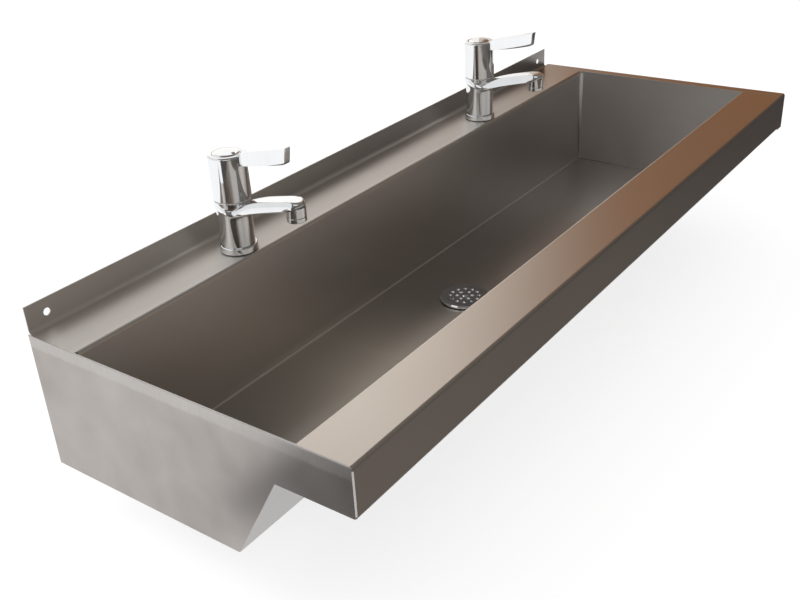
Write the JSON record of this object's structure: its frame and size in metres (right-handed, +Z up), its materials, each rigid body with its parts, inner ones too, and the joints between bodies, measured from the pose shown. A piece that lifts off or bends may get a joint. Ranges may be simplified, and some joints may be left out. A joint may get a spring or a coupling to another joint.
{
  "type": "trough sink",
  "caption": "Wall-hung steel trough sink with a sloping bowl front, deep front apron, grated waste and quarter-turn lever taps on the rear ledge.",
  "frame": {"origin": "middle of the line between the two upper wall-fixing holes, on the wall face", "axes": "+X along the trough to the right seen from the front, -Y out of the wall to the front, +Z up"},
  "size_m": [1.2, 0.448, 0.3819],
  "materials": {
    "satin_steel": "satin, brushed along the trough",
    "mill_steel": "dull, softly mottled",
    "chrome": "bright polished",
    "brass": "bare, turned",
    "rubber": "matt black",
    "white_plastic": "plain moulded",
    "dark_steel": "dark, oiled"
  },
  "bodies": {
    "trough": {"trough_shell": "satin_steel", "end_panel_left": "mill_steel", "end_panel_right": "mill_steel", "end_rim_right": "satin_steel", "sound_pads": "rubber", "earth_tab": "mill_steel", "earth_screw": "brass", "waste_body": "chrome", "waste_grid": "chrome", "waste_screw": "chrome", "waste_top_washer": "rubber", "waste_bottom_washer": "rubber", "waste_nut": "brass", "tap_1_body": "chrome", "tap_1_base_ring": "chrome", "tap_1_base_washer": "rubber", "tap_1_fixing_washer": "brass", "tap_1_back_nut": "brass", "tap_1_cartridge": "brass", "tap_1_cartridge_seal": "rubber", "tap_1_cartridge_nut": "brass", "tap_1_glide_ring": "white_plastic", "tap_1_aerator": "chrome", "tap_1_aerator_insert": "white_plastic", "tap_2_body": "chrome", "tap_2_base_ring": "chrome", "tap_2_base_washer": "rubber", "tap_2_fixing_washer": "brass", "tap_2_back_nut": "brass", "tap_2_cartridge": "brass", "tap_2_cartridge_seal": "rubber", "tap_2_cartridge_nut": "brass", "tap_2_glide_ring": "white_plastic", "tap_2_aerator": "chrome", "tap_2_aerator_insert": "white_plastic"},
    "lever_1": {"tap_1_lever": "chrome", "tap_1_spindle": "brass", "tap_1_lever_screw": "dark_steel", "tap_1_cap": "chrome", "tap_1_index_pip": "dark_steel"},
    "lever_2": {"tap_2_lever": "chrome", "tap_2_spindle": "brass", "tap_2_lever_screw": "dark_steel", "tap_2_cap": "chrome", "tap_2_index_pip": "dark_steel"}
  },
  "joints": [
    {"name": "lever_1_turn", "type": "hinge", "parent": "trough", "child": "lever_1", "pos_m": [-0.31, -0.052, 0.07], "axis": [0, 0, 1], "range_deg": [0, 90]},
    {"name": "lever_2_turn", "type": "hinge", "parent": "trough", "child": "lever_2", "pos_m": [0.27, -0.052, 0.07], "axis": [0, 0, 1], "range_deg": [0, 90]}
  ]
}
